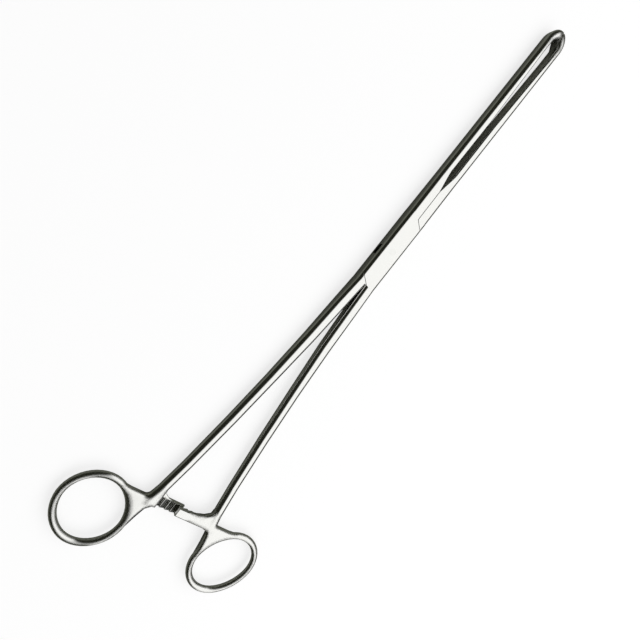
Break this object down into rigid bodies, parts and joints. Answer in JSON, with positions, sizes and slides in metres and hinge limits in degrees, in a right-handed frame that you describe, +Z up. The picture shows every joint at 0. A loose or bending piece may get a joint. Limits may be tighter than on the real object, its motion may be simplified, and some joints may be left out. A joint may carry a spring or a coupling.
{
  "type": "allis forceps",
  "caption": "Long ring-handled tissue forceps with box lock, interlocking ratchet and slender fenestrated jaws with toothed tips.",
  "frame": {"origin": "on the pivot axis of the box lock, in the plane of its flat underside", "axes": "X from the pivot to the jaw tips, Y to the side of the half with the tongue at the rings, Z up along the pivot pin"},
  "size_m": [0.2519, 0.0794, 0.0055],
  "materials": {
    "polished_steel": "polished stainless steel with fine lengthwise polishing lines",
    "pin_steel": "stainless steel rivet ground flush with the box lock"
  },
  "bodies": {
    "female": {"female_half": "polished_steel", "pivot_pin": "pin_steel"},
    "male": {"male_half": "polished_steel"}
  },
  "joints": [
    {"name": "box_lock", "type": "hinge", "parent": "female", "child": "male", "pos_m": [0, 0, 0.00275], "axis": [0, 0, -1], "range_deg": [0, 43]}
  ]
}
